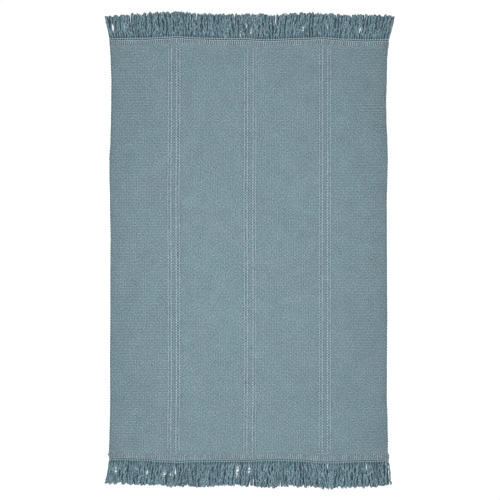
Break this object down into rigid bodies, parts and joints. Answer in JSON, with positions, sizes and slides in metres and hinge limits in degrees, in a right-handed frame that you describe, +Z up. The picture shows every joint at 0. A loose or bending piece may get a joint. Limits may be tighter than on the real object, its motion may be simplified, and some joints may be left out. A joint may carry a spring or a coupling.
{
  "type": "flatweave rug",
  "caption": "Small rectangular flatweave rug in grey-blue yarn with lengthwise openwork stripes and a fringe at both ends, lying flat.",
  "frame": {"origin": "middle of the rug on the surface it lies on", "axes": "+Z up through the face of the rug, +Y along the warp and the long sides, +X across along the weft"},
  "size_m": [0.5788, 0.9537, 0.004],
  "materials": {
    "woven_yarn": "matt grey-blue cotton-like yarn in a plain flat weave",
    "fringe_yarn": "matt grey-blue loosely twisted yarn ends"
  },
  "bodies": {
    "root": {"cloth": "woven_yarn", "fringe_far": "fringe_yarn", "fringe_near": "fringe_yarn"}
  },
  "joints": []
}
